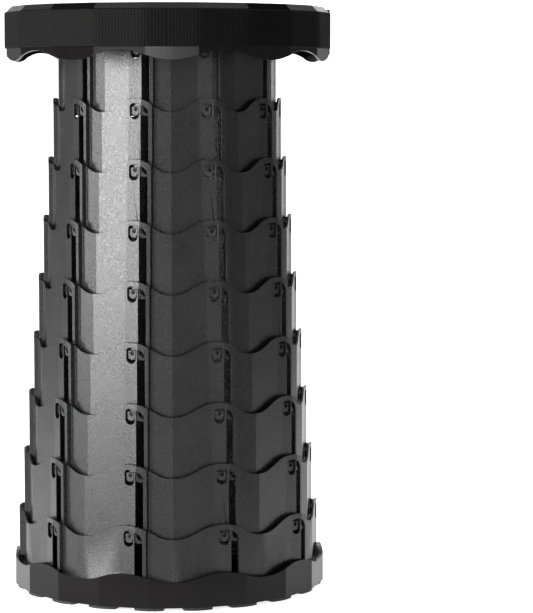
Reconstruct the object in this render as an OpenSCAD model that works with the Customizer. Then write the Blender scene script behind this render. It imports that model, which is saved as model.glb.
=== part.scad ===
/* [Overall] */
// Height of the seat top with the stool drawn up
stool_h = 450; // [440:0.5:455]
// Number of telescoping rings between the base and the seat
ring_count = 9; // [9:1:9]
// Distance of the top ring's crests below the seat top
ring_1_drop = 24.9; // [24:0.1:26]
// Height of the bottom ring's crests above the ground
ring_9_rise = 63.1; // [63.1:0.1:64]

/* [Rings] */
// Height of a ring at the crests of its wavy top edge
ring_h = 58.5; // [56:0.5:60]
// Radius of the smallest ring's corners
ring_1_r = 83; // [82:0.1:84]
// How much each ring's radius exceeds that of the ring inside it
ring_step = 4.1; // [4.1:0.05:4.2]
// Wall thickness of a ring's panels
ring_wall = 1.5; // [1.3:0.1:1.5]
// Depth of the wave in a ring's top edge
wave_depth = 10.2; // [7:0.1:11]

/* [Columns] */
// Angle of the first column's slot, from the front, toward the right
slot_angle = -11.5; // [-13:0.5:-10]
// Left edge of the slot, along the panel from the column's middle
slot_left = -2.6; // [-2.8:0.1:-2.5]
// Right edge of the slot
slot_right = 3.4; // [3.4:0.1:3.5]
// Right edge of the ridge beside the slot
ridge_right = 6.2; // [6.1:0.1:6.5]
// How far the ridge stands out from the panel
ridge_lift = 3.0; // [2.7:0.1:3]
// Where the ramp on the left of the slot starts
ramp_start = -13; // [-14:0.1:-12.5]
// How far the ramp stands out at the slot
ramp_lift = 2.6; // [2.4:0.1:2.7]
// Wall thickness of the ramp
ramp_wall = 1.15; // [1:0.05:1.2]
// Place of the wave's crest beside the slot
crest_u = -7.6; // [-8.5:0.1:-7]
// Left and right edges of the lock window
window_u = [-11.2, -3.6];
// Material left above the lock window
window_roof = 3.8; // [3.4:0.1:4.2]
// Length of the lock window
window_len = 11.8; // [11:0.1:13]

/* [Seat] */
// Radius of the seat skirt's corners
seat_r = 125.3; // [125:0.1:127]
// Radius of the rim's corners above the belt
rim_r = 123; // [122:0.1:123.5]
// Depth of the skirt below the seat top, at its lowest
skirt_low = 42; // [41:0.1:43]
// Height of the wave in the skirt's edge
skirt_wave = 7.2; // [5:0.1:7.4]
// Thickness of the skirt
skirt_wall = 2.2; // [1.8:0.1:2.4]
// Radius of the round centre cap
cap_r = 59.4; // [58:0.1:60]
// Diameter of the finger holes
finger_d = 25; // [22:0.5:27]
// Distance between the finger holes
finger_pitch = 55; // [50:1:60]

/* [Belt] */
// Width of the webbing
webbing_w = 27.5; // [25:0.5:28]
// Thickness of the webbing
webbing_t = 1.6; // [1.4:0.1:1.6]
// Distance of the belt's top edge below the seat top
belt_drop = 4.9; // [4.8:0.1:6.5]
// Angle of the handle's middle, from the front
handle_angle = 181.5; // [181.5:18:199.5]
// Distance of the handle's outer side from the stool's axis
handle_reach = 198; // [190:1:205]
// Angle of the belt's slider, from the front
slider_angle = 109.5; // [91.5:18:127.5]

/* [Base] */
// Radius of the base's corners
base_r = 121.6; // [121.4:0.1:122]
// Height of the base's top edge at its crests
base_h = 27.8; // [27:0.1:28.8]
// Height of the wave in the base's edge
base_wave = 6.5; // [4:0.1:7]
// Thickness of the floor
floor_t = 2.2; // [2:0.1:2.2]
// Height of the foot pads
foot_h = 2.3; // [2:0.1:2.3]

/* [Hidden] */
$fn = 64;

sector = 36; // ten columns
half = 18; // twenty facets on the seat and the base
crest_angle = slot_angle - 5; // crests of the seat's and the base's waves
corner_angle = slot_angle + 4; // corners of the seat and the base
crease_before = 23; // a panel's crease, in degrees before a slot
crease_after = 13; // and after it
stage = (stool_h - ring_1_drop - ring_9_rise) / (ring_count - 1);
overlap = ring_h - stage; // how far a ring reaches into the next one
floor_z = foot_h + floor_t;
plate_t = 3; // seat plate and face together
ring_colour = [0.16, 0.16, 0.165];
gloss_colour = [0.05, 0.05, 0.055];
cloth_colour = [0.09, 0.09, 0.09];
slip = 0.4; // room beside a ridge, a hook or a lug
edge_up = 0.3; // hooks and lugs start this far above a ring's lower edge
relief = 0.9; // depth of the groove inside a ridge
inset = 0.5; // the ramp and the ridge run on this far into the slot, which is then cut through them
collar_r = ring_1_r - ring_step;
collar_bottom = stool_h - ring_1_drop - overlap;
belt_r = seat_r + webbing_t + 0.1;
belt_top = stool_h - belt_drop;
belt_mid = belt_top - webbing_w / 2;
facet = cos(9); // a facet's distance from the axis, over its corners'
hinge_v = belt_r * facet + webbing_w / 2 - 1.6; // the line that the handle bends about
slider_v = belt_r + webbing_t + 0.5; // the slider's inner face
screw_r = 70; // circle of the collar's screws
boss_z = stool_h - 10; // underside of the screw bosses

// A point at radius r and at an angle from the front.
function polar(r, t) = [r * sin(t), -r * cos(t)];
// A point u along and v out, seen at angle t.
function at(u, v, t) = [u * cos(t) + v * sin(t), u * sin(t) - v * cos(t)];
// Radius of the corners of ring k.
function corner_r(k) = ring_1_r + (k - 1) * ring_step;
// Height of ring k's lower edge.
function ring_z(k) = ring_9_rise - ring_h + (ring_count - k) * stage;
// Distance of a panel from the axis at place u beside the slot.
function panel(r, u) =
  let (
    cv = sqrt(r * r - crest_u * crest_u),
    left = [-r * sin(crease_before), r * cos(crease_before)],
    right = [r * sin(crease_after), r * cos(crease_after)]
  )
  u < crest_u
    ? cv + (u - crest_u) * (cv - left.y) / (crest_u - left.x)
    : cv + (u - crest_u) * (right.y - cv) / (right.x - crest_u);
// Outline of a ring's outside. grow widens the columns for a cavity around it.
function outside(r, grow = 0) = [
  for (i = [0:9]) let (
    t = slot_angle + sector * i,
    v = panel(r, 0),
    start = ramp_start - grow,
    end = ridge_right + grow
  ) each [
    polar(r, t - crease_before),
    at(start, panel(r, start), t),
    at(slot_left + grow + inset, v + ramp_lift + inset / 3, t),
    at(slot_right - grow - inset, v + ridge_lift, t),
    at(end, v + ridge_lift, t),
    at(end + 0.7, panel(r, end + 0.7), t)
  ]
];
// Outline of a ring's inside, with room for the next ring's ramps and ridges.
function inside(r) = [
  for (i = [0:9]) let (
    t = slot_angle + sector * i,
    v = panel(r, 0),
    ri = r - ring_wall,
    start = ramp_start + 0.2,
    top = v + ramp_lift - ramp_wall,
    groove = v - ring_wall + relief,
    end = ridge_right + slip
  ) each [
    polar(ri, t - crease_before),
    at(start, panel(ri, start), t),
    at(slot_left + inset, top + inset / 3, t),
    at(slot_right - slip, top, t),
    at(slot_right - slip, groove, t),
    at(end, groove, t),
    at(end, panel(ri, end), t)
  ]
];
// Smooth step from 0 to 1 with flat ends.
function ease(s) = s * s * s * (s * (s * 6 - 15) + 10);
// Twenty-sided outline whose corners match the seat's.
function twenty(r) = [for (i = [0:19]) polar(r, corner_angle + half * i)];

// Places a flat shape upright at angle t, drawn as (along, up), from radius r0 to r1.
module out_from(t, r0, r1)
  rotate([0, 0, t]) translate([0, -r0, 0]) rotate([90, 0, 0]) linear_extrude(r1 - r0) children();

// Removes what stands above a wave, one dip wide: crests at angles a before and b after t.
module dip(t, r, a, b, z, depth) {
  n = 12;
  left = [for (i = [1:n - 1]) [-r * sin(a) * (1 - i / n), z - depth * ease(i / n)]];
  right = [for (i = [n - 1:-1:1]) [r * sin(b) * (1 - i / n), z - depth * ease(i / n)]];
  out_from(t, r - 12, r + 12)
    polygon(concat(left, right, [[right[n - 2].x, z + 4], [left[0].x, z + 4]]));
}

// The lock window and the slot, as (along, up) from the ring's lower edge.
module window_outline() {
  w = window_u[1] - window_u[0];
  mid = (window_u[0] + window_u[1]) / 2;
  top = ring_h - window_roof;
  round_z = top - window_len + w / 2;
  corner = 2.4;
  translate([mid, round_z]) circle(w / 2);
  translate([window_u[0], round_z]) square([w, top - corner - round_z]);
  translate([window_u[0] + corner, round_z]) square([w - corner, top - round_z]);
  translate([window_u[0] + corner, top - corner]) circle(corner);
}

module slot_outline() {
  arch = 7.4;
  spring = ring_h - 12;
  translate([slot_left, -1]) square([slot_right - slot_left, spring + 1]);
  intersection() {
    translate([slot_right - arch, spring]) circle(arch);
    translate([slot_left, spring - 1]) square([slot_right - slot_left, arch + 2]);
  }
}

// Points on an arc about a centre, from one angle to another.
function arc(centre, r, from, to, n = 6) = [
  for (i = [0:n]) let (a = from + (to - from) * i / n) centre + r * [cos(a), sin(a)]
];

// The pad on a ring's lower edge that shows in the next ring's lock window.
module hook(r) {
  next = r + ring_step;
  gap = 0.3;
  from = [ramp_start + 0.2, panel(next - ring_wall, ramp_start + 0.2)];
  to = [slot_left, panel(next, 0) + ramp_lift - ramp_wall];
  slope = (to.y - from.y) / (to.x - from.x);
  u0 = window_u[0] + 0.5;
  u1 = window_u[1] - 0.5;
  root = [ramp_start, panel(r, ramp_start)];
  tip = [slot_left + inset, panel(r, 0) + ramp_lift + inset / 3];
  pitch = (tip.y - root.y) / (tip.x - root.x);
  sunk = 0.5;
  radius = (u1 - u0) / 2;
  difference() {
    intersection() {
      linear_extrude(7.2) polygon([
        [u0 - 1, -(root.y + pitch * (u0 - 1 - root.x) - sunk)],
        [u0 - 1, -(from.y + slope * (u0 - 1 - from.x) - gap)],
        [u1 + 1, -(from.y + slope * (u1 + 1 - from.x) - gap)],
        [u1 + 1, -(root.y + pitch * (u1 + 1 - root.x) - sunk)]
      ]);
      out_from(0, r - 6, r + 9) polygon(concat(
        arc([(u0 + u1) / 2, edge_up + radius], radius, 180, 360, 8),
        [[u1, 8], [u0, 8]]
      ));
    }
    out_from(0, panel(next, 0) - 2, r + 9) translate([u1 - 2.6, 5.2]) circle(1.5);
  }
}

// The lug on a ring's lower edge that rides in the next ring's slot.
module lug(r) {
  v = panel(r, 0);
  out = panel(r + ring_step, 0) + 1.6;
  left = slot_left + slip;
  right = slot_right - slip;
  big = right - left;
  centre = [right, big + 1.2];
  rib = 0.9;
  out_from(0, v + 2.3, out) polygon(concat(
    [[left, 2], [left + 1.6, edge_up], [right, edge_up]],
    arc(centre, big - rib, 270, 180),
    [[left + rib, centre.y + 1.6], [left, centre.y + 1.6]]
  ));
  out_from(0, v + ramp_lift - 0.7, v + ramp_lift + 1)
    translate([slot_left - 1, edge_up]) square([1.4, centre.y + 1.3 - edge_up]);
}

// One telescoping ring, standing on z = 0.
module ring_body(k) {
  r = corner_r(k);
  lean = asin(-crest_u / r);
  difference() {
    linear_extrude(ring_h) difference() {
      polygon(outside(r));
      polygon(inside(r));
    }
    for (i = [0:9]) {
      t = slot_angle + sector * i;
      dip(t + crease_after, r, crease_after + lean, crease_before - lean, ring_h, wave_depth);
      out_from(t, r - 6, r + 6) window_outline();
      out_from(t, r - 6, r + 6) slot_outline();
    }
  }
  if (k < ring_count)
    for (i = [0:9]) rotate([0, 0, slot_angle + sector * i]) {
      hook(r);
      lug(r);
    }
  else
    bottom_flange(r);
}

// Short flanges at the creases of the bottom ring, which the lip inside the base holds.
module bottom_flange(r)
  intersection() {
    linear_extrude(3) difference() {
      polygon(outside(r + 0.9));
      polygon(inside(r));
    }
    union() for (i = [0:9])
      rotate([0, 0, slot_angle + crease_after + sector * i]) translate([-11, -r - 4, 0]) cube([22, 12, 3]);
  }

module ring(k)
  color(ring_colour) translate([0, 0, ring_z(k)]) ring_body(k);

// Base: one deep tub with a ribbed floor.
module base_tub() {
  r9 = corner_r(ring_count);
  lip_z = ring_z(ring_count) + 3.3;
  color(gloss_colour) difference() {
    union() {
      difference() {
        translate([0, 0, foot_h]) linear_extrude(base_h - foot_h) polygon(twenty(base_r));
        translate([0, 0, floor_z]) linear_extrude(base_h) polygon(outside(r9 + slip, slip));
        translate([0, 0, floor_z]) linear_extrude(lip_z - floor_z)
          polygon([
            for (i = [0:9]) each [
              polar(r9 + 1.3, slot_angle + sector * i - crease_before),
              polar(r9 + 1.3, slot_angle + sector * i - 5)
            ]
          ]);
        for (i = [0:9])
          dip(crest_angle + half + sector * i, base_r, half, half, base_h, base_wave);
      }
      // Floor ribs, inside the smallest ring.
      for (i = [0:9]) rotate([0, 0, slot_angle + sector * i])
        translate([-1, -76, floor_z - 0.1]) cube([2, 60, 6]);
      translate([0, 0, floor_z - 0.1]) difference() {
        cylinder(h = 8, r = 18);
        translate([0, 0, -1]) cylinder(h = 10, r = 16);
      }
      // Round boss in the middle of the underside, level with the feet.
      cylinder(h = foot_h + 0.1, r = 16);
    }
  }
}

// Feet: twenty short pads under the base's corners.
module foot_pads()
  color([0.04, 0.04, 0.04]) for (i = [0:19])
    rotate([0, 0, corner_angle + half * i]) translate([0, -base_r + 6.2, 0]) intersection() {
      translate([-11, -4.6, 0]) cube([22, 9.2, foot_h]);
      translate([0, 22, -1]) cylinder(h = foot_h + 2, r = 26.6);
    }

// Collar: the fixed ring under the seat plate, whose hooks sit in ring 1.
module seat_collar() {
  top = stool_h - plate_t;
  color(ring_colour) {
    difference() {
      union() {
        translate([0, 0, collar_bottom]) linear_extrude(top - collar_bottom) difference() {
          polygon(outside(collar_r));
          circle(76.3, $fn = 128);
        }
        translate([0, 0, boss_z - 2.4]) linear_extrude(2.4) difference() {
          circle(76.9, $fn = 128);
          circle(62, $fn = 128);
        }
      }
      for (i = [0:4]) rotate([0, 0, 72 * i]) translate([screw_r, 0, boss_z - 4])
        cylinder(h = 6, r = 1.7);
    }
    translate([0, 0, collar_bottom]) for (i = [0:9]) rotate([0, 0, slot_angle + sector * i]) {
      hook(collar_r);
      lug(collar_r);
    }
  }
}

// Seat: gloss shell of plate, rim and skirt.
module seat_shell() {
  step_z = belt_top + 0.2;
  step = (seat_r - rim_r) * facet;
  chamfer = 1.5;
  under = stool_h - plate_t;
  color(gloss_colour) difference() {
    union() {
      difference() {
        translate([0, 0, stool_h - skirt_low]) linear_extrude(skirt_low - 0.2) polygon(twenty(seat_r));
        translate([0, 0, stool_h - skirt_low - 1]) linear_extrude(skirt_low + 1 - 8)
          polygon(twenty(seat_r - skirt_wall));
        translate([0, 0, stool_h - 10]) linear_extrude(10 - plate_t) polygon(twenty(rim_r - 2));
      }
      translate([0, 0, under - 2]) cylinder(h = 2.5, r = 61.5, $fn = 128);
      for (i = [0:4]) rotate([0, 0, 72 * i]) translate([screw_r, 0, boss_z])
        cylinder(h = under - boss_z + 0.2, r = 4.2);
    }
    // Face and centre cap are let into the top.
    translate([0, 0, stool_h - 1.4]) linear_extrude(3) polygon(twenty(rim_r - 2.9));
    translate([0, 0, stool_h - 3]) cylinder(h = 4, r = cap_r + 0.3, $fn = 128);
    translate([0, 0, stool_h - 9]) cylinder(h = 12, r = cap_r - 3.7, $fn = 128);
    for (i = [0:4]) rotate([0, 0, 72 * i]) translate([screw_r, 0, boss_z - 1])
      cylinder(h = 6.5, r = 1.45);
    // Facets of the rim stand back from the skirt's, with a sloping step and a broken top edge.
    for (i = [0:19]) rotate([0, 0, corner_angle + 9 + half * i]) {
      translate([-30, -seat_r * facet - 8, step_z + step]) cube([60, 8 + step, 20]);
      translate([0, -seat_r * facet, step_z]) rotate([45, 0, 0]) translate([-30, -8, 0]) cube([60, 16, 9]);
      translate([0, -rim_r * facet + chamfer, stool_h - 0.2]) rotate([45, 0, 0])
        translate([-30, -8, 0]) cube([60, 16, 9]);
    }
    // Wavy lower edge.
    for (i = [0:9]) mirror_dip(crest_angle + sector * i);
  }
}

// Removes the skirt below a wave that rises at angle t.
module mirror_dip(t) {
  n = 12;
  z = stool_h - skirt_low;
  reach = seat_r * sin(half);
  rise = [for (i = [1:n - 1]) [-reach * (1 - i / n), z + skirt_wave * ease(i / n)]];
  fall = [for (i = [n - 1:-1:1]) [reach * (1 - i / n), z + skirt_wave * ease(i / n)]];
  out_from(t, seat_r - 12, seat_r + 12)
    polygon(concat(rise, fall, [[fall[n - 2].x, z - 4], [rise[0].x, z - 4]]));
}

// Five pan-head screws hold the collar to the seat.
module collar_screws()
  color("silver") for (i = [0:4]) rotate([0, 0, 72 * i]) translate([screw_r, 0, boss_z - 2.4]) {
    difference() {
      translate([0, 0, -1.8]) cylinder(h = 1.8, r = 3.3);
      translate([-2, -0.4, -2.8]) cube([4, 0.8, 1.8]);
      translate([-0.4, -2, -2.8]) cube([0.8, 4, 1.8]);
    }
    translate([0, 0, -0.1]) cylinder(h = 7.5, r = 1.4);
  }

// Grained face of the seat.
module seat_face()
  color([0.12, 0.12, 0.125]) difference() {
    translate([0, 0, stool_h - 1.4]) linear_extrude(1.4) polygon(twenty(rim_r - 3.1));
    translate([0, 0, stool_h - 3]) cylinder(h = 5, r = cap_r + 0.3, $fn = 128);
  }

// Round cap with two finger holes that run down as tubes.
module centre_cap()
  color([0.1, 0.1, 0.105]) difference() {
    union() {
      translate([0, 0, stool_h - 3]) cylinder(h = 3, r = cap_r, $fn = 128);
      translate([0, 0, stool_h - 9]) difference() {
        cylinder(h = 6.5, r = cap_r - 4, $fn = 128);
        translate([0, 0, -1]) cylinder(h = 7, r = cap_r - 6, $fn = 128);
      }
      for (x = [-1, 1]) translate([x * finger_pitch / 2, 0, stool_h - 14])
        cylinder(h = 12, d = finger_d + 4);
    }
    for (x = [-1, 1]) translate([x * finger_pitch / 2, 0, stool_h]) {
      translate([0, 0, -20]) cylinder(h = 22, d = finger_d);
      translate([0, 0, -0.7]) cylinder(h = 1, d1 = finger_d, d2 = finger_d + 2);
    }
  }

// Belt: webbing drawn tight round the skirt.
module belt_webbing()
  color(cloth_colour) translate([0, 0, belt_top - webbing_w]) linear_extrude(webbing_w) difference() {
    polygon(twenty(belt_r));
    polygon(twenty(seat_r + 0.1));
  }

// The belt's free end, laid back over the belt.
module belt_tail()
  color(cloth_colour) translate([0, 0, belt_top - webbing_w]) linear_extrude(webbing_w)
    intersection() {
      difference() {
        polygon(twenty(belt_r + webbing_t));
        polygon(twenty(belt_r));
      }
      polygon([
        [0, 0],
        polar(150, slider_angle - 16),
        polar(170, slider_angle + 8),
        polar(150, slider_angle + 31)
      ]);
    }

// Slider: a plain three-bar buckle on the outside of the belt.
module belt_slider() {
  long = webbing_w + 8;
  wide = 26;
  color([0.03, 0.03, 0.03]) rotate([0, 0, slider_angle]) translate([0, -slider_v, belt_mid])
    rotate([90, 0, 0]) linear_extrude(2.6) difference() {
      translate([-wide / 2, -long / 2]) square([wide, long]);
      for (x = [-9.2, 3]) translate([x, -webbing_w / 2 - 1]) square([6.2, webbing_w + 2]);
    }
}

// The fold of webbing that passes over the slider's middle bar.
module slider_fold()
  color(cloth_colour) rotate([0, 0, slider_angle]) translate([0, -slider_v - 2.7, belt_mid - webbing_w / 2])
    linear_extrude(webbing_w) polygon([
      [-8.6, 1.9], [-8.6, 0.1], [-6.2, -webbing_t], [6.2, -webbing_t], [8.6, 0.1], [8.6, 1.9],
      [7, 1.9], [7, 0.8], [5.4, 0], [-5.4, 0], [-7, 0.8], [-7, 1.9]
    ]);

// Sewn ends of the handle, flat on the belt.
module handle_tabs()
  color(cloth_colour) for (s = [-1, 1])
    rotate([0, 0, handle_angle + s * half]) translate([-9, -belt_r * facet - webbing_t - 0.05, belt_top - webbing_w])
      cube([18, webbing_t, webbing_w]);

// One side of the handle's loop seen from above, from foot to top, moved in by t.
function loop_side(foot, top, bend, t) =
  let (
    lean = atan((foot.x - top.x) / (top.y - foot.y)),
    centre = [top.x - bend, top.y - bend],
    r = bend - t
  )
  concat(
    [[foot.x - t / cos(lean), foot.y]],
    [for (a = [lean:(90 - lean) / 6:90.1]) centre + r * [cos(a), sin(a)]]
  );
function mirrored(points) = [for (i = [len(points) - 1:-1:0]) [-points[i].x, points[i].y]];

// Handle: a loop of webbing whose ends are round about the line that it bends on.
module handle_loop() {
  foot = [36.5, hinge_v - webbing_w / 2 - 1];
  top = [20, handle_reach];
  bend = 9;
  outer = loop_side(foot, top, bend, 0);
  inner = loop_side(foot, top, bend, webbing_t);
  strap = concat(outer, mirrored(outer), [for (p = inner) [-p.x, p.y]], [for (i = [len(inner) - 1:-1:0]) inner[i]]);
  color(cloth_colour) rotate([0, 0, handle_angle]) intersection() {
    translate([0, 0, belt_mid - webbing_w / 2]) linear_extrude(webbing_w)
      polygon([for (p = strap) [p.x, -p.y]]);
    // Round ends, about the bending line.
    union() {
      translate([-60, -handle_reach - 1, belt_mid - webbing_w])
        cube([120, handle_reach + 1 - hinge_v, 2 * webbing_w]);
      translate([-61, -hinge_v, belt_mid]) rotate([0, 90, 0]) cylinder(h = 122, d = webbing_w - 0.2);
    }
  }
}

// White bar tacks through the sewn ends.
module bar_tacks()
  color("white") for (s = [-1, 1])
    rotate([0, 0, handle_angle + s * half]) for (i = [-1:1])
      translate([s * 4 - 0.6 + i * 2.6, -belt_r * facet - webbing_t - 0.45, belt_mid - 5 + i])
        cube([1.2, 0.4, 10]);

base_tub();
foot_pads();
ring(9);  // ring_9
ring(8);  // ring_8
ring(7);  // ring_7
ring(6);  // ring_6
ring(5);  // ring_5
ring(4);  // ring_4
ring(3);  // ring_3
ring(2);  // ring_2
ring(1);  // ring_1
seat_collar();
seat_shell();
collar_screws();
seat_face();
centre_cap();
belt_webbing();
belt_tail();
belt_slider();
slider_fold();
handle_tabs();
handle_loop();
bar_tacks();
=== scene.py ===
import math

import bmesh
import bpy
from mathutils import Matrix, Vector


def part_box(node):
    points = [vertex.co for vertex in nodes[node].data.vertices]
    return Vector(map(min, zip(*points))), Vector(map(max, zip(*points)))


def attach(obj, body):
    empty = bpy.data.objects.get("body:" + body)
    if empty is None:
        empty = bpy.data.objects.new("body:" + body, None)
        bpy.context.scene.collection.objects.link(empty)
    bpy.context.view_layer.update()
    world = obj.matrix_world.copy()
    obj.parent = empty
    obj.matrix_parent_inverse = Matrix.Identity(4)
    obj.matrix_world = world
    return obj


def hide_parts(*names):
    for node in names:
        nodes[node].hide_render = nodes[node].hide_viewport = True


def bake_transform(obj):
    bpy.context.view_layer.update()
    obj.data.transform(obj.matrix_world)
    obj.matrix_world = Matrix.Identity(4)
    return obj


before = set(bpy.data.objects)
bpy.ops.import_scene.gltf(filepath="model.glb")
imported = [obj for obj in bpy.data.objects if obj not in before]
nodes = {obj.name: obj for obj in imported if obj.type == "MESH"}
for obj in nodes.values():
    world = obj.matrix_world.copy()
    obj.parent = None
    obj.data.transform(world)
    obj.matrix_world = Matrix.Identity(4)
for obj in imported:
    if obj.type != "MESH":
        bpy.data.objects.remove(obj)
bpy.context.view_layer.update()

# ---------------------------------------------------------------------------
# Base tub. One injection moulding in polished black polypropylene, with twenty
# flat facets and a wavy top edge. Its lip inside holds the bottom ring's flanges.

mm = 0.001
moulded_edge = 0.2 * mm


def principled(name):
    """A new material with its own Principled shader, and that shader."""
    material = bpy.data.materials.new(name)
    material.use_nodes = True
    return material, material.node_tree.nodes["Principled BSDF"]


def node(material, kind, inputs=None, **settings):
    """A new node in a material, with its settings and unlinked inputs filled in."""
    made = material.node_tree.nodes.new(kind)
    for name, value in settings.items():
        setattr(made, name, value)
    for name, value in (inputs or {}).items():
        made.inputs[name].default_value = value
    return made


def link(material, source, target):
    material.node_tree.links.new(source, target)


def noise(material, scale, detail=2.0, stretch=(1, 1, 1)):
    """Noise over a piece, in its own coordinates, stretched along its axes."""
    place = node(material, "ShaderNodeTexCoord")
    mapping = node(material, "ShaderNodeMapping", {"Scale": stretch})
    texture = node(material, "ShaderNodeTexNoise", {"Scale": scale, "Detail": detail})
    link(material, place.outputs["Object"], mapping.inputs["Vector"])
    link(material, mapping.outputs["Vector"], texture.inputs["Vector"])
    return texture.outputs["Fac"]


def ranged(material, source, low, high, start=0.3, stop=0.7):
    """A texture's value mapped from start..stop to low..high."""
    span = node(
        material,
        "ShaderNodeMapRange",
        {"From Min": start, "From Max": stop, "To Min": low, "To Max": high},
    )
    link(material, source, span.inputs["Value"])
    return span.outputs["Result"]


def shaded(material, source, dark, light, start=0.3, stop=0.7):
    """A colour between dark and light that follows a texture's value."""
    ramp = node(material, "ShaderNodeValToRGB")
    ramp.color_ramp.elements[0].position = start
    ramp.color_ramp.elements[0].color = (*dark, 1)
    ramp.color_ramp.elements[1].position = stop
    ramp.color_ramp.elements[1].color = (*light, 1)
    link(material, source, ramp.inputs["Fac"])
    return ramp.outputs["Color"]


def bump(material, shader, *layers):
    """Bump layers of (value, strength, distance), one on the other."""
    normal = None
    for value, strength, distance in layers:
        made = node(material, "ShaderNodeBump", {"Strength": strength, "Distance": distance})
        link(material, value, made.inputs["Height"])
        if normal is not None:
            link(material, normal, made.inputs["Normal"])
        normal = made.outputs["Normal"]
    link(material, normal, shader.inputs["Normal"])


def colour_and_gloss(material, shader, texture, dark, light, gloss):
    """Colour and roughness that follow one texture, as the finish varies over a piece."""
    link(material, shaded(material, texture, dark, light), shader.inputs["Base Color"])
    link(material, ranged(material, texture, *gloss), shader.inputs["Roughness"])


def finished(name, mesh, body, slot, material, *replaced):
    """A piece from a mesh, with its material, body and the CAD it stands for; its slot is not used.

    A piece that bends across a joint rides on no body of its own, so its body is None.
    """
    mesh.materials.clear()
    mesh.materials.append(material)
    piece = bpy.data.objects.new(name, mesh)
    bpy.context.scene.collection.objects.link(piece)
    if body:
        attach(piece, body)
    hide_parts(*replaced)
    return piece


def softened(name, source, body, slot, material, width):
    """A copy of a CAD node with its moulded edges rounded, which stands for it."""
    same_place = 0.02 * mm
    same_plane = math.radians(0.4)
    copy = bmesh.new()
    copy.from_mesh(nodes[source].data)
    bmesh.ops.remove_doubles(copy, verts=copy.verts, dist=same_place)
    bmesh.ops.dissolve_limit(copy, angle_limit=same_plane, verts=copy.verts, edges=copy.edges)
    mesh = bpy.data.meshes.new(name)
    copy.to_mesh(mesh)
    copy.free()
    mesh.shade_smooth()
    mesh.set_sharp_from_angle(angle=math.radians(9))
    piece = finished(name, mesh, body, slot, material, source)
    edges = piece.modifiers.new("moulded edges", "BEVEL")
    edges.width = width
    edges.segments = 2
    edges.limit_method = "ANGLE"
    edges.angle_limit = math.radians(40)
    edges.harden_normals = True
    edges.use_clamp_overlap = False
    return piece


gloss_black, shader = principled("polished_black")
shader.inputs["IOR"].default_value = 1.46
shader.inputs["Specular IOR Level"].default_value = 0.22
smear = noise(gloss_black, 28, 3, (1, 1, 0.4))
tub_dark, tub_light = (0.0035, 0.003, 0.0032), (0.006, 0.0048, 0.005)
colour_and_gloss(gloss_black, shader, smear, tub_dark, tub_light, (0.1, 0.17))
bump(gloss_black, shader, (noise(gloss_black, 60, 2), 0.05, 0.3 * mm))

softened("base_moulding", "base_tub", "base", "gloss_black", gloss_black, moulded_edge)

# ---------------------------------------------------------------------------
# Foot pads. Twenty short rubber blocks let into the underside at the facets'
# corners, so that the stool stands on its rim.

pad_edge = 0.3 * mm
foot_rubber, shader = principled("foot_rubber")
grit = noise(foot_rubber, 900, 3)
rubber_dark, rubber_light = (0.012, 0.012, 0.012), (0.03, 0.029, 0.028)
colour_and_gloss(foot_rubber, shader, grit, rubber_dark, rubber_light, (0.55, 0.8))
bump(foot_rubber, shader, (grit, 0.3, 0.15 * mm))
softened("foot_pad_set", "foot_pads", "base", "foot", foot_rubber, pad_edge)

# ---------------------------------------------------------------------------
# Telescoping rings. Nine glass-filled nylon mouldings, each with ten columns of
# ramp, slot, lock window and ridge, spark-eroded to a fine satin grain.

satin_nylon, shader = principled("satin_nylon")
shader.inputs["IOR"].default_value = 1.52
grain = noise(satin_nylon, 850, 3)
cloud = noise(satin_nylon, 45, 3)
rubbed = noise(satin_nylon, 500, 2, (1, 1, 0.03))
nylon_dark, nylon_light = (0.011, 0.011, 0.0115), (0.018, 0.018, 0.0185)
nylon_colour = shaded(satin_nylon, cloud, nylon_dark, nylon_light)
link(satin_nylon, nylon_colour, shader.inputs["Base Color"])
link(satin_nylon, ranged(satin_nylon, grain, 0.22, 0.38), shader.inputs["Roughness"])
bump(satin_nylon, shader, (grain, 0.55, 0.22 * mm), (rubbed, 0.06, 0.2 * mm))

ring_count = 9
for k in range(ring_count, 0, -1):
    ring = "ring_%d" % k
    body = "base" if k == ring_count else ring  # the largest is snapped into the base
    softened(ring + "_moulding", ring, body, "satin_nylon", satin_nylon, moulded_edge)

# ---------------------------------------------------------------------------
# Seat collar and its screws. The collar is the same satin nylon as the rings,
# held to bosses under the seat by five zinc-plated pan-head screws.

softened("collar_moulding", "seat_collar", "seat", "satin_nylon", satin_nylon, moulded_edge)

zinc, shader = principled("zinc_plate")
shader.inputs["Metallic"].default_value = 1.0
frost = noise(zinc, 700, 2)
colour_and_gloss(zinc, shader, frost, (0.42, 0.42, 0.44), (0.6, 0.6, 0.6), (0.28, 0.45))
nodes["collar_screws"].data.materials.clear()
nodes["collar_screws"].data.materials.append(zinc)

# ---------------------------------------------------------------------------
# Seat shell. Plate, rim and wavy skirt in one polished black moulding, with the
# same twenty facets as the base.

softened("seat_moulding", "seat_shell", "seat", "gloss_black", gloss_black, moulded_edge)

# ---------------------------------------------------------------------------
# Seat face and centre cap. Matt grained polypropylene. The face is moulded in
# ten shallow petals that overlap like a shutter's leaves.

seat_grain, shader = principled("seat_grain")
shader.inputs["IOR"].default_value = 1.46
shader.inputs["Specular IOR Level"].default_value = 0.34
pores = noise(seat_grain, 1300, 3)
tone = noise(seat_grain, 30, 3)
face_colour = shaded(seat_grain, tone, (0.013, 0.013, 0.014), (0.019, 0.019, 0.02))
link(seat_grain, face_colour, shader.inputs["Base Color"])
link(seat_grain, ranged(seat_grain, pores, 0.5, 0.66), shader.inputs["Roughness"])
bump(seat_grain, shader, (pores, 0.4, 0.12 * mm))

cap_rounding = 0.25 * mm
softened("centre_cap_moulding", "centre_cap", "seat", "seat_grain", seat_grain, cap_rounding)

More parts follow.
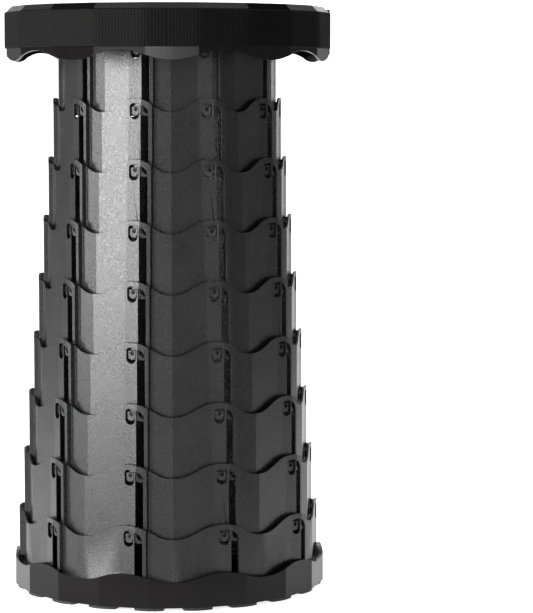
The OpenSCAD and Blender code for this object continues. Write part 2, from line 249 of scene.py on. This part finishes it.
facet_angle = 18  # twenty facets on the seat and the base
corner_angle = -7.5  # a corner, in degrees right of the front
facet = math.cos(math.radians(facet_angle / 2))  # a facet's distance, over a corner's
face_corner = 119.7 * mm
petals = 10
petal_step = 0.28 * mm
seam = 0.05 * mm  # how far the face keeps inside its recess
rim_start = 0.985  # where the face's outer edge starts to round over
rim_drop = 0.5 * mm
face_low, face_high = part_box("seat_face")
cap_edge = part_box("centre_cap")[1][0] + 0.35 * mm


def outline_radius(angle, corner, round_from=facet_angle / 2):
    """Distance from the axis to a twenty-sided outline, seen at an angle.

    Past round_from degrees from a facet's middle, the outline is rounded to the next one.
    """
    off = abs((angle - corner_angle) % facet_angle - facet_angle / 2)
    if off > round_from:
        off -= (off - round_from) ** 2 / 4
    return corner * facet / math.cos(math.radians(off))


def around(radius, angle):
    """The point at a radius and an angle from the front, toward the right."""
    return radius * math.sin(math.radians(angle)), -radius * math.cos(math.radians(angle))


def petal_drop(angle, part):
    """Drop of the face below its highest point: each petal slopes down to the next.

    The petals' edges curve round with the distance from the cap, part of the way out.
    """
    sweep = 0.95 * part ** 0.8
    turn = (angle / 360 * petals + sweep) % 1
    rise = min(1, turn / 0.05)
    return petal_step * (1 - rise * rise * (3 - 2 * rise) * (1 - turn))


grid = bmesh.new()
rows = []
row_count = 40
turns = 720
for j in range(row_count + 1):
    part = j / row_count
    row = []
    for i in range(turns):
        angle = corner_angle + 360 * i / turns
        outer = outline_radius(angle, face_corner)
        x, y = around(cap_edge + (outer - cap_edge) * part, angle)
        rounding = rim_drop * max(0, (part - rim_start) / (1 - rim_start)) ** 2
        fade = min(1, part / 0.05, (1 - part) / 0.03)
        z = face_high[2] - seam - fade * petal_drop(angle, part) - rounding
        row.append(grid.verts.new((x, y, z)))
    rows.append(row)
under = face_low[2] + seam
inner_wall = [grid.verts.new((top.co.x, top.co.y, under)) for top in rows[0]]
outer_wall = [grid.verts.new((top.co.x, top.co.y, under)) for top in rows[-1]]
rows = [inner_wall] + rows + [outer_wall]
for j in range(len(rows)):
    here = rows[j]
    there = rows[(j + 1) % len(rows)]
    for i in range(turns):
        n = (i + 1) % turns
        grid.faces.new((here[i], here[n], there[n], there[i]))
bmesh.ops.recalc_face_normals(grid, faces=grid.faces)
face_mesh = bpy.data.meshes.new("seat_face_moulding")
grid.to_mesh(face_mesh)
grid.free()
face_mesh.shade_smooth()
face_mesh.set_sharp_from_angle(angle=math.radians(35))
finished("seat_face_moulding", face_mesh, "seat", "seat_grain", seat_grain, "seat_face")

# ---------------------------------------------------------------------------
# Belt. One length of black polypropylene webbing drawn tight round the skirt, with
# its free end laid back over it on the stool's right side.

belt_low, belt_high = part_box("belt_webbing")
webbing_w = belt_high[2] - belt_low[2]
webbing_t = 1.6 * mm
belt_mid = (belt_high[2] + belt_low[2]) / 2
belt_corner = 127.0 * mm
rib_pitch = 1.95 * mm
rib_height = 0.13 * mm
selvedge = 0.045  # part of half the width that its rounded edge takes
edge_thickness = 0.25  # of the webbing's own, at the very edge
steps_across = 56


def strap(name, path, closed=False):
    """Webbing along a path of (x, y) at belt height: ribbed outside, round selvedges.

    The path is the middle of the strap's thickness, with its outer side on its right.
    Its weave_place says how far along, across and out of the strap each point is.
    """
    across = []
    for i in range(steps_across + 1):
        part = -1 + 2 * i / steps_across
        past_flat = max(0, (abs(part) - 1 + selvedge) / selvedge)
        edge = math.sqrt(max(0, 1 - past_flat ** 2))
        place = part * webbing_w / 2
        rib = rib_height * (0.5 + 0.5 * math.cos(2 * math.pi * place / rib_pitch))
        crest = webbing_t / 2 - rib_height + rib
        across.append((place, crest * max(edge, edge_thickness)))
    section = across + [(a, -o) for a, o in across[::4]][::-1]
    made = bmesh.new()
    along = made.verts.layers.float_vector.new("weave_place")
    count = len(path)
    run = 0.0
    loops = []
    for i in range(count):
        before = path[i - 1] if closed or i else path[0]
        after = path[(i + 1) % count] if closed or i < count - 1 else path[-1]
        dx = after[0] - before[0]
        dy = after[1] - before[1]
        size = math.hypot(dx, dy)
        out_x = dy / size
        out_y = -dx / size
        loop = []
        for a, o in section:
            x = path[i][0] + out_x * o
            y = path[i][1] + out_y * o
            vert = made.verts.new((x, y, belt_mid + a))
            vert[along] = (run, a, o)
            loop.append(vert)
        loops.append(loop)
        if i < count - 1:
            run += math.dist(path[i], path[i + 1])
    n = len(section)
    for i in range(count if closed else count - 1):
        here = loops[i]
        there = loops[(i + 1) % count]
        for j in range(n):
            made.faces.new((here[j], there[j], there[(j + 1) % n], here[(j + 1) % n]))
    if not closed:
        made.faces.new(loops[0])
        made.faces.new(loops[-1][::-1])
    bmesh.ops.recalc_face_normals(made, faces=made.faces)
    mesh = bpy.data.meshes.new(name)
    made.to_mesh(mesh)
    made.free()
    mesh.shade_smooth()
    mesh.set_sharp_from_angle(angle=math.radians(50))
    return mesh


def wave(material, vector, pitch, direction, distortion):
    """Threads that lie side by side at a pitch, across one direction of the webbing."""
    scale = math.pi / 10 / pitch
    inputs = {"Scale": scale, "Distortion": distortion}
    threads = node(material, "ShaderNodeTexWave", inputs, bands_direction=direction)
    link(material, vector, threads.inputs["Vector"])
    return threads.outputs["Fac"]


pick_pitch = 2.4674 * mm
warp_pitch = 1.9344 * mm
webbing, shader = principled("woven_webbing")
shader.inputs["Specular IOR Level"].default_value = 0.12
place = node(webbing, "ShaderNodeAttribute", attribute_name="weave_place")
picks = wave(webbing, place.outputs["Vector"], pick_pitch, "X", 0.4)
warps = wave(webbing, place.outputs["Vector"], warp_pitch, "Y", 0.2)
cross = node(webbing, "ShaderNodeMath", operation="MULTIPLY")
link(webbing, picks, cross.inputs[0])
link(webbing, warps, cross.inputs[1])
weave = cross.outputs["Value"]
fuzz = noise(webbing, 1800, 2)
# The colour follows the weave's height. The yarn's own near-black is lighter on the thread crowns,
# and the hollows between threads are painted darker: painted shade.
painted_hollow_shade, yarn_light = (0.0018, 0.0018, 0.0018), (0.012, 0.0115, 0.011)
yarn_tone_and_painted_shade = shaded(webbing, weave, painted_hollow_shade, yarn_light, 0.1, 0.8)
link(webbing, yarn_tone_and_painted_shade, shader.inputs["Base Color"])
link(webbing, ranged(webbing, fuzz, 0.6, 0.8), shader.inputs["Roughness"])
bump(webbing, shader, (weave, 0.8, 0.35 * mm), (fuzz, 0.3, 0.1 * mm))

belt_step = 0.75  # degrees
tail_start = 93.5  # the free end, in degrees right of the front
tail_end = 140.5
round_from = 7  # webbing is drawn round a corner from here, in degrees from a facet's middle


def belt_path(corner, start, count):
    """A number of points round the twenty-sided skirt, drawn round its corners."""
    angles = [start + i * belt_step for i in range(count)]
    return [around(outline_radius(angle, corner, round_from), angle) for angle in angles]


belt_points = round(360 / belt_step)
belt_mesh = strap("belt", belt_path(belt_corner - webbing_t / 2, 0, belt_points), closed=True)
finished("belt", belt_mesh, "seat", "webbing", webbing, "belt_webbing")
tail_points = round((tail_end - tail_start) / belt_step) + 1
tail_mesh = strap("belt_free_end", belt_path(belt_corner + webbing_t / 2, tail_start, tail_points))
finished("belt_free_end", tail_mesh, "seat", "webbing", webbing, "belt_tail")

# ---------------------------------------------------------------------------
# Slider. A moulded acetal three-bar buckle that slides along the belt, with the
# webbing folded over its middle bar.

slider_black, shader = principled("slider_black")
flow = noise(slider_black, 120, 3)
acetal_dark, acetal_light = (0.011, 0.011, 0.011), (0.018, 0.018, 0.018)
colour_and_gloss(slider_black, shader, flow, acetal_dark, acetal_light, (0.22, 0.34))
bump(slider_black, shader, (noise(slider_black, 900, 2), 0.15, 0.08 * mm))

buckle_edge = 0.7 * mm
softened("slider_buckle", "belt_slider", "slider", "slider", slider_black, buckle_edge)


def faced(along, out, angle):
    """The point along and out from the front, turned to an angle right of the front."""
    right = math.cos(math.radians(angle))
    back = math.sin(math.radians(angle))
    return along * right + out * back, along * back - out * right


slider_angle = 109.5
buckle_t = 2.7 * mm
bar_top = belt_corner + webbing_t + 0.5 * mm + buckle_t
fold = [(-8.0, -2.0), (-7.9, -0.9), (-7.4, 0.0), (-6.5, 0.65), (-5.4, 0.8), (-2.5, 0.85), (0, 0.87)]
fold += [(-along, out) for along, out in fold[-2::-1]]
fold_path = [faced(along * mm, bar_top + out * mm, slider_angle) for along, out in fold]
fold_mesh = strap("slider_webbing", fold_path)
finished("slider_webbing", fold_mesh, "slider", "webbing", webbing, "slider_fold")

# ---------------------------------------------------------------------------
# Carry handle. One length of the belt's webbing whose ends are sewn flat on the
# belt, and which bows out from there into a loop. The real loop bends up or down;
# here it is built in one fixed shape.

handle_angle = 181.5
belt_face = belt_corner * facet + 0.05 * mm
tab_off = 0.9 * mm  # from the belt to the middle of a sewn end's thickness
reach = 198 * mm - webbing_t / 2
tab_lean = math.radians(facet_angle)  # they lie on the facets beside the middle one
tab_x = belt_face * math.sin(tab_lean)
tab_out = belt_face * math.cos(tab_lean) + tab_off
tab_outer = 9 * mm
tab_inner = -1 * mm
foot_bend = 3.2 * mm
crown_half = 20 * mm
crown_bend = 9 * mm

half_path = []
for i in range(9):
    along = tab_outer - (tab_outer - tab_inner) * i / 8
    half_path.append((tab_x + along * math.cos(tab_lean), tab_out - along * math.sin(tab_lean)))
bend_x = tab_x + tab_inner * math.cos(tab_lean) + foot_bend * math.sin(tab_lean)
bend_out = tab_out - tab_inner * math.sin(tab_lean) + foot_bend * math.cos(tab_lean)
for i in range(1, 9):
    turn = (math.pi / 2 - tab_lean) * i / 8
    angle = -math.pi / 2 - tab_lean - turn
    half_path.append((bend_x + foot_bend * math.cos(angle), bend_out + foot_bend * math.sin(angle)))
foot_x, foot_out = half_path[-1]
side_steps = 26
for i in range(1, side_steps):
    part = i / side_steps
    ease = part * part * (3 - 2 * part)
    x = foot_x + (crown_half - foot_x) * (0.35 * part + 0.65 * ease)
    half_path.append((x, foot_out + (reach - crown_bend - foot_out) * part))
for i in range(9):
    angle = math.pi / 2 * i / 8
    x = crown_half - crown_bend + crown_bend * math.cos(angle)
    half_path.append((x, reach - crown_bend + crown_bend * math.sin(angle)))
for i in range(1, 6):
    half_path.append(((crown_half - crown_bend) * (1 - i / 5), reach))
whole = half_path + [(-x, out) for x, out in half_path[-2::-1]]
handle_path = [faced(x, out, handle_angle) for x, out in whole]
handle_mesh = strap("carry_handle", handle_path)
handle = finished("carry_handle", handle_mesh, None, "webbing", webbing, "handle_loop", "handle_tabs")

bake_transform(handle)

# ---------------------------------------------------------------------------
# Bar tacks. Dense zigzag rows of white thread through the handle's sewn ends.

white_thread, shader = principled("white_thread")
twist = noise(white_thread, 2500, 2)
thread_dark, thread_light = (0.55, 0.54, 0.51), (0.8, 0.79, 0.76)
colour_and_gloss(white_thread, shader, twist, thread_dark, thread_light, (0.5, 0.7))
bump(white_thread, shader, (twist, 0.5, 0.1 * mm))

rows_apart = 2.6 * mm
stitch_pitch = 0.68 * mm
stitches_in_row = 15
stitch_size = Matrix.Diagonal((0.75 * mm, 0.3 * mm, 0.3 * mm, 1))
zigzag = 14  # degrees
thread_out = belt_face + tab_off + webbing_t / 2 + 0.08 * mm
stitches = bmesh.new()
for side in (-1, 1):
    angle = handle_angle + side * facet_angle
    upright = Matrix.Rotation(math.radians(angle), 4, "Z")
    for row in (-1, 0, 1):
        x, y = faced(side * 4 * mm + row * rows_apart, thread_out, angle)
        for k in range(stitches_in_row):
            z = belt_mid + row * mm + (k - stitches_in_row // 2) * stitch_pitch
            slant = Matrix.Rotation(math.radians(zigzag * (-1) ** k), 4, "Y")
            place = Matrix.Translation(Vector((x, y, z))) @ upright @ slant @ stitch_size
            bmesh.ops.create_icosphere(stitches, subdivisions=2, radius=1, matrix=place)
stitch_mesh = bpy.data.meshes.new("bar_tack_stitches")
stitches.to_mesh(stitch_mesh)
stitches.free()
stitch_mesh.shade_smooth()
finished("bar_tack_stitches", stitch_mesh, "seat", "thread", white_thread, "bar_tacks")

# ---------------------------------------------------------------------------
# Stage. A pale paper sweep that runs flat under the stool and curves up behind it.
# The paper glows with its own emission, a painted pool of light round the stool, so
# that it goes white there and stays dimmer in front.

floor_front = -12.0
floor_back = 2.4
floor_side = 12.0
bend_up = 0.8
wall_top = 3.4
sweep = [(floor_front, 0.0), (floor_back, 0.0)]
for i in range(1, 13):
    angle = math.radians(90 * i / 12)
    sweep.append((floor_back + bend_up * math.sin(angle), bend_up * (1 - math.cos(angle))))
sweep.append((floor_back + bend_up, wall_top))
points = [(x, y, z) for y, z in sweep for x in (-floor_side, floor_side)]
faces = [(2 * i, 2 * i + 1, 2 * i + 3, 2 * i + 2) for i in range(len(sweep) - 1)]
floor_mesh = bpy.data.meshes.new("floor")
floor_mesh.from_pydata(points, [], faces)
floor_mesh.shade_smooth()
floor = bpy.data.objects.new("floor", floor_mesh)
bpy.context.scene.collection.objects.link(floor)
paper, shader = principled("pale_paper")
shader.inputs["Roughness"].default_value = 0.9
shader.inputs["Specular IOR Level"].default_value = 0.1
shader.inputs["Emission Color"].default_value = (1, 1, 1, 1)
fibre = shaded(paper, noise(paper, 3, 2), (0.86, 0.86, 0.86), (0.88, 0.88, 0.88))
link(paper, fibre, shader.inputs["Base Color"])

# Painted light: the paper's emission is strongest round and behind the stool, and weaker in front and
# to the sides.
painted_glow_middle = 0.15  # the lit patch's middle, to the right of the stool
ground = node(paper, "ShaderNodeTexCoord")
axes = node(paper, "ShaderNodeSeparateXYZ")
link(paper, ground.outputs["Object"], axes.inputs["Vector"])
from_middle = node(paper, "ShaderNodeMath", {1: painted_glow_middle}, operation="SUBTRACT")
link(paper, axes.outputs["X"], from_middle.inputs[0])
aside = node(paper, "ShaderNodeMath", operation="ABSOLUTE")
link(paper, from_middle.outputs["Value"], aside.inputs[0])
painted_glow_patch = node(paper, "ShaderNodeMath", operation="MULTIPLY")
link(paper, ranged(paper, axes.outputs["Y"], 0, 1, -0.3, -0.05), painted_glow_patch.inputs[0])
link(paper, ranged(paper, aside.outputs["Value"], 1, 0, 0.68, 1.05), painted_glow_patch.inputs[1])
glow = ranged(paper, painted_glow_patch.outputs["Value"], 0.12, 0.97, 0, 1)
link(paper, glow, shader.inputs["Emission Strength"])
floor_mesh.materials.append(paper)

# ---------------------------------------------------------------------------
# Room, lights and camera. A dim room that is lighter toward the floor, two soft
# boxes on the left, two narrow strips in front and one soft box overhead.

world = bpy.data.worlds.new("room")
bpy.context.scene.world = world
world.use_nodes = True
sky = world.node_tree.nodes["Background"]
sky.inputs["Color"].default_value = (1, 1, 1, 1)
direction = node(world, "ShaderNodeTexCoord")
upward = node(world, "ShaderNodeSeparateXYZ")
link(world, direction.outputs["Generated"], upward.inputs["Vector"])
link(world, ranged(world, upward.outputs["Z"], 0.45, 0.05, 0.0, 0.22), sky.inputs["Strength"])

stool_middle = 0.24


def softbox(name, angle, distance, height, size, power):
    """An area light, angle degrees right of the front, that faces the stool's middle."""
    lamp = bpy.data.lights.new(name, "AREA")
    lamp.shape = "RECTANGLE"
    lamp.size, lamp.size_y = size
    lamp.energy = power
    box = bpy.data.objects.new(name, lamp)
    box.location = (*around(distance, angle), height)
    facing = Vector((0, 0, stool_middle)) - box.location
    box.rotation_euler = facing.to_track_quat("-Z", "Y").to_euler()
    bpy.context.scene.collection.objects.link(box)


softbox("key_left", -51, 1.9, 0.38, (0.5, 1.5), 56)
softbox("fill_left", -86, 1.9, 0.5, (0.36, 1.3), 15)
softbox("panel_left", -33, 2.6, 0.4, (0.28, 1.4), 4)
softbox("strip_front", 1, 2.6, 0.42, (0.12, 1.6), 10)
softbox("overhead", 180, 0.7, 2.6, (2.0, 2.0), 16)

looks_down = 5.06  # degrees
looks_right = 2.29
camera = bpy.data.cameras.new("camera")
camera.sensor_fit = "AUTO"
camera.sensor_width = 36
camera.lens = 144.5
camera.clip_end = 20
camera_obj = bpy.data.objects.new("camera", camera)
bpy.context.scene.collection.objects.link(camera_obj)
camera_obj.location = (0, -1.922, 0.387)
camera_obj.rotation_euler = (math.radians(90 - looks_down), 0, math.radians(-looks_right))
bpy.context.scene.camera = camera_obj
bpy.context.scene.view_settings.view_transform = "Standard"
